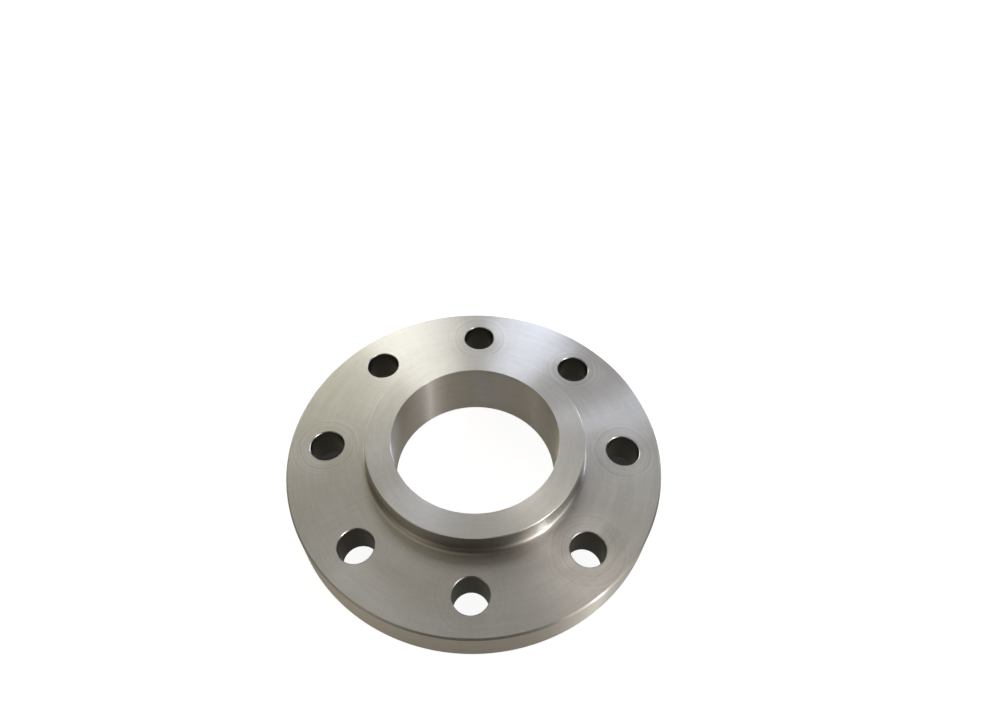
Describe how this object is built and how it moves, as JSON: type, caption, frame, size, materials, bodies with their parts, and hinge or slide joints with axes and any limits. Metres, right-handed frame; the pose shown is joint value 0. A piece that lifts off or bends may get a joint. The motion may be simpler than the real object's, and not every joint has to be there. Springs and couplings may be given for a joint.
{
  "type": "weld neck flange",
  "caption": "Round steel pipe flange with a short raised hub round its bore, a ring of bolt holes and a raised gasket face on the other side.",
  "frame": {"origin": "centre of the raised gasket face, which is the flange's lowest face, on the bore's axis", "axes": "+Z along the bore's axis from the gasket face towards the hub's weld end; +X from the axis through a bolt hole's centre"},
  "size_m": [0.2, 0.2, 0.036],
  "materials": {
    "machined_stainless": "satin, fine turned grooves, not polished"
  },
  "bodies": {
    "root": {"flange_body": "machined_stainless"}
  },
  "joints": []
}
